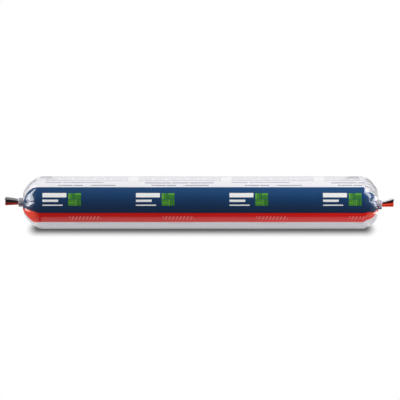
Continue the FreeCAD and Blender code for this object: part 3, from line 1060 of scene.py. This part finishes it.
# Lamps: place, how far along the pack they aim, size, radiance, the setting that scales it, roll
# in degrees, and whether they give soft light or are seen by gloss alone.
LAMPS = {
    "overhead_softbox": ((0, -0.05, 1.25), 0, (2.0, 1.7), 1.25, "overhead", 0, "soft"),
    "left_panel": ((-1.05, 0.1, 0.385), 0, (0.43, 1.0), 5.8, "sides", 46, "gloss"),
    "right_panel": ((0.9, -0.3, 0.7), 0, (0.42, 1.08), 7.0, "sides", 24, "gloss"),
    "left_card": ((-0.26, -0.002, 0.03), 0, (0.05, 0.05), 3.6, "sides", 0, "gloss"),
    "right_card": ((0.25, 0.016, 0.024), 0, (0.084, 0.046), 4.4, "sides", 0, "gloss"),
    "left_fill": ((-0.9, -0.05, 0.1), -0.16, (0.6, 0.3), 3.0, "sides", 0, "soft"),
    "right_fill": ((0.5, -0.5, 0.22), 0.16, (0.3, 0.3), 2.6, "sides", 0, "soft"),
}

# Dark cards across the pack: how far along it each stands, and its corners (y, z) from the floor.
# Those at the shoulders keep the panels' images off the barrel. The others, which pass over and
# beside a tail, keep them off the back of a dome.
SHOULDER_CARD = ((-0.12, 0.0), (0.12, 0.0), (0.12, 0.25), (-0.12, 0.25))
OVER_TAIL = ((-0.008, 0.031), (-0.008, 0.3), (0.06, 0.3))
BESIDE_TAIL = ((0.06, 0.0), (0.0065, 0.0), (0.0065, 0.031))
DARK_CARDS = {
    "left_flag": (-0.148, SHOULDER_CARD),
    "right_flag": (0.148, SHOULDER_CARD),
    "left_corner": (-0.172, OVER_TAIL + BESIDE_TAIL),
    "right_corner": (0.172, OVER_TAIL + BESIDE_TAIL),
}


def ray_kinds(tree):
    """One for rays from the camera, for rays by gloss or through glass, and for soft light."""
    path = tree.nodes.new("ShaderNodeLightPath")
    camera, glossy, through = (
        Field(tree, path.outputs[f"Is {kind} Ray"]) for kind in ("Camera", "Glossy", "Transmission")
    )
    mirrored = glossy.math("MAXIMUM", through)
    return camera, mirrored, (camera + mirrored).flipped().math("ABSOLUTE")


def floor_material():
    """Matt grey that takes the shadow near the pack, and plain white further off.

    How far off a place is counts from a line as long as the barrel, and threefold past its ends.
    To gloss the floor is nearly dark but for a pale strip along each side of the pack. To soft
    light it glows close to the pack, as a white floor does.
    """
    material, tree, output = new_material("studio_floor")
    x, y, _ = coordinates(tree)
    camera, mirrored, soft = ray_kinds(tree)
    past_end = ((x - 0.002).math("ABSOLUTE") - 0.15).math("MAXIMUM", 0.0) * 3.0
    away = (past_end * past_end + y * y).math("SQRT")
    beside = y.math("ABSOLUTE")
    beyond = past_end.ramp(0.02, 0.076)
    lit = beside.ramp(0.026, 0.042, 0.68, 0.0) + beyond * 0.2
    shown = (camera * away.ramp(0.0095, 0.0445)).math("MAXIMUM", mirrored)
    shown = shown + soft * lit.math("MINIMUM", 1.0)
    sheet = away.ramp(0.017, 0.026) * beside.ramp(0.031, 0.037, 1.0, 0.0)
    sheet = sheet * past_end.ramp(0.002, 0.058, 1.0, 0.2)
    matt = tree.nodes.new("ShaderNodeBsdfDiffuse")
    matt.inputs["Color"].default_value = (0.2, 0.2, 0.2, 1)
    glow = tree.nodes.new("ShaderNodeEmission")
    strength = camera + soft * (beyond * 0.3 + 1.0) + mirrored * (sheet * 0.85 + 0.07)
    tree.links.new(strength.socket, glow.inputs["Strength"])
    blend = tree.nodes.new("ShaderNodeMixShader")
    tree.links.new(shown.socket, blend.inputs[0])
    tree.links.new(matt.outputs[0], blend.inputs[1])
    tree.links.new(glow.outputs[0], blend.inputs[2])
    tree.links.new(blend.outputs[0], output.inputs["Surface"])
    return material


def card_material(name):
    """As dim as the room, so that a dark card can't be told from it."""
    material, tree, output = new_material(name)
    glow = tree.nodes.new("ShaderNodeEmission")
    glow.inputs["Strength"].default_value = DARK_ROOM
    tree.links.new(glow.outputs[0], output.inputs["Surface"])
    return material


def studio_world(settings):
    """White to the camera, a dark room with a white back wall to gloss, and even soft light.

    In a world's tree, Generated coordinates are the direction of the ray.
    """
    world = bpy.data.worlds.new("studio")
    world.use_nodes = True
    tree = world.node_tree
    tree.nodes.clear()
    backwards = coordinates(tree, "Generated")[1]
    camera, mirrored, soft = ray_kinds(tree)
    room = backwards.ramp(0.54, 0.64, DARK_ROOM, 1.0)
    strength = camera + mirrored * room + soft * settings.ambient
    background = tree.nodes.new("ShaderNodeBackground")
    tree.links.new(strength.socket, background.inputs["Strength"])
    output = tree.nodes.new("ShaderNodeOutputWorld")
    tree.links.new(background.outputs[0], output.inputs["Surface"])
    return world


def aimed(place, target, roll=0.0):
    """The turn that points an object's -Z from its place to a target, rolled about that line."""
    turn = (Vector(target) - Vector(place)).to_track_quat("-Z", "Y")
    return (turn @ Quaternion((0, 0, 1), roll)).to_euler()


def add_lamp(name, settings, axis):
    """A rectangular area lamp of an even radiance, unseen by the camera."""
    place, aim, size, radiance, setting, roll, kind = LAMPS[name]
    lamp = bpy.data.lights.new(name, "AREA")
    lamp.shape = "RECTANGLE"
    lamp.size, lamp.size_y = size
    lamp.energy = radiance * getattr(settings, setting) * 4 * size[0] * size[1]
    piece = bpy.data.objects.new(name, lamp)
    bpy.context.scene.collection.objects.link(piece)
    piece.location = place
    piece.rotation_euler = aimed(place, (aim, 0, axis), math.radians(roll))
    piece.visible_camera = False
    piece.visible_diffuse, piece.visible_glossy = kind == "soft", kind == "gloss"


def add_dark_card(name):
    """An upright card across the pack, seen by gloss alone."""
    x, outline = DARK_CARDS[name]
    corners = np.array([(x, y, float(cad_low[2]) + z) for y, z in outline])
    face = tuple(range(len(corners)))
    card = add_piece(name, corners, [face], [card_material(name)], False)
    card.visible_camera = card.visible_diffuse = card.visible_shadow = False


def add_camera(scene, settings, axis):
    """The camera, at an elevation in front of the pack, with a lens for the width it takes in."""
    camera = bpy.data.objects.new("camera", bpy.data.cameras.new("camera"))
    scene.collection.objects.link(camera)
    target = Vector((settings.aim_side, 0, axis + settings.aim_up))
    back = Vector((0, -math.cos(settings.elevation), math.sin(settings.elevation)))
    camera.location = target + back * settings.distance
    camera.rotation_euler = aimed(camera.location, target)
    camera.data.sensor_width = 36
    camera.data.lens = camera.data.sensor_width * settings.distance / settings.field_width
    scene.camera = camera


def build_studio(context):
    """The floor, the world, the lamps, the dark cards and the camera."""
    scene, settings = context.scene, context.scene.pack_studio
    corners = np.array([(-1, -1), (1, -1), (1, 1), (-1, 1)]) * FLOOR_REACH
    vertices = np.column_stack((corners, np.full(4, float(cad_low[2]))))
    floor = add_piece("studio_floor", vertices, [(0, 1, 2, 3)], [floor_material()], False)
    scene.world = studio_world(settings)
    axis = pack_axis(scene.pack_film)[1]
    for name in LAMPS:
        add_lamp(name, settings, axis)
    for name in DARK_CARDS:
        add_dark_card(name)
    add_camera(scene, settings, axis)
    scene.view_settings.view_transform = "Standard"


# ---------------------------------------------------------------------------- add-on


class PACK_OT_film(bpy.types.Operator):
    """Build the printed film skin from one cut end to the other"""

    bl_idname = "pack.film"
    bl_label = "Build film"

    def execute(self, context):
        build_film(context)
        return {"FINISHED"}


class PACK_OT_clips(bpy.types.Operator):
    """Build the two crimped aluminium clips"""

    bl_idname = "pack.clips"
    bl_label = "Build clips"

    def execute(self, context):
        build_clip(context, "left")
        build_clip(context, "right")
        return {"FINISHED"}


class PACK_OT_studio(bpy.types.Operator):
    """Set up the floor, the lamps and the camera"""

    bl_idname = "pack.studio"
    bl_label = "Set up studio"

    def execute(self, context):
        build_studio(context)
        return {"FINISHED"}


class PACK_PT_panel(bpy.types.Panel):
    """The pieces and their settings"""

    bl_idname = "PACK_PT_panel"
    bl_label = "Adhesive film pack"
    bl_space_type = "VIEW_3D"
    bl_region_type = "UI"
    bl_category = "Film pack"

    def draw(self, context):
        layout, scene = self.layout, context.scene
        boxes = (
            ("pack.film", (scene.pack_film, scene.pack_print)),
            ("pack.clips", (scene.pack_clip,)),
            ("pack.studio", (scene.pack_studio,)),
        )
        for operator, settings in boxes:
            box = layout.box()
            box.operator(operator)
            for group in settings:
                for name in group.__annotations__:
                    box.prop(group, name)


GROUPS = {
    "pack_film": FilmShape,
    "pack_print": FilmPrint,
    "pack_clip": ClipShape,
    "pack_studio": StudioSet,
}
CLASSES = (*GROUPS.values(), PACK_OT_film, PACK_OT_clips, PACK_OT_studio, PACK_PT_panel)


def register():
    """Register the classes and hang their settings on the scene."""
    for item in CLASSES:
        bpy.utils.register_class(item)
    for name, group in GROUPS.items():
        setattr(bpy.types.Scene, name, PointerProperty(type=group))


def unregister():
    """Take the settings off the scene again and unregister the classes."""
    for name in GROUPS:
        delattr(bpy.types.Scene, name)
    for item in reversed(CLASSES):
        bpy.utils.unregister_class(item)


def main():
    """Builds everything."""
    register()
    bpy.ops.pack.film()
    bpy.ops.pack.clips()
    bpy.ops.pack.studio()


if __name__ == "__main__":
    main()
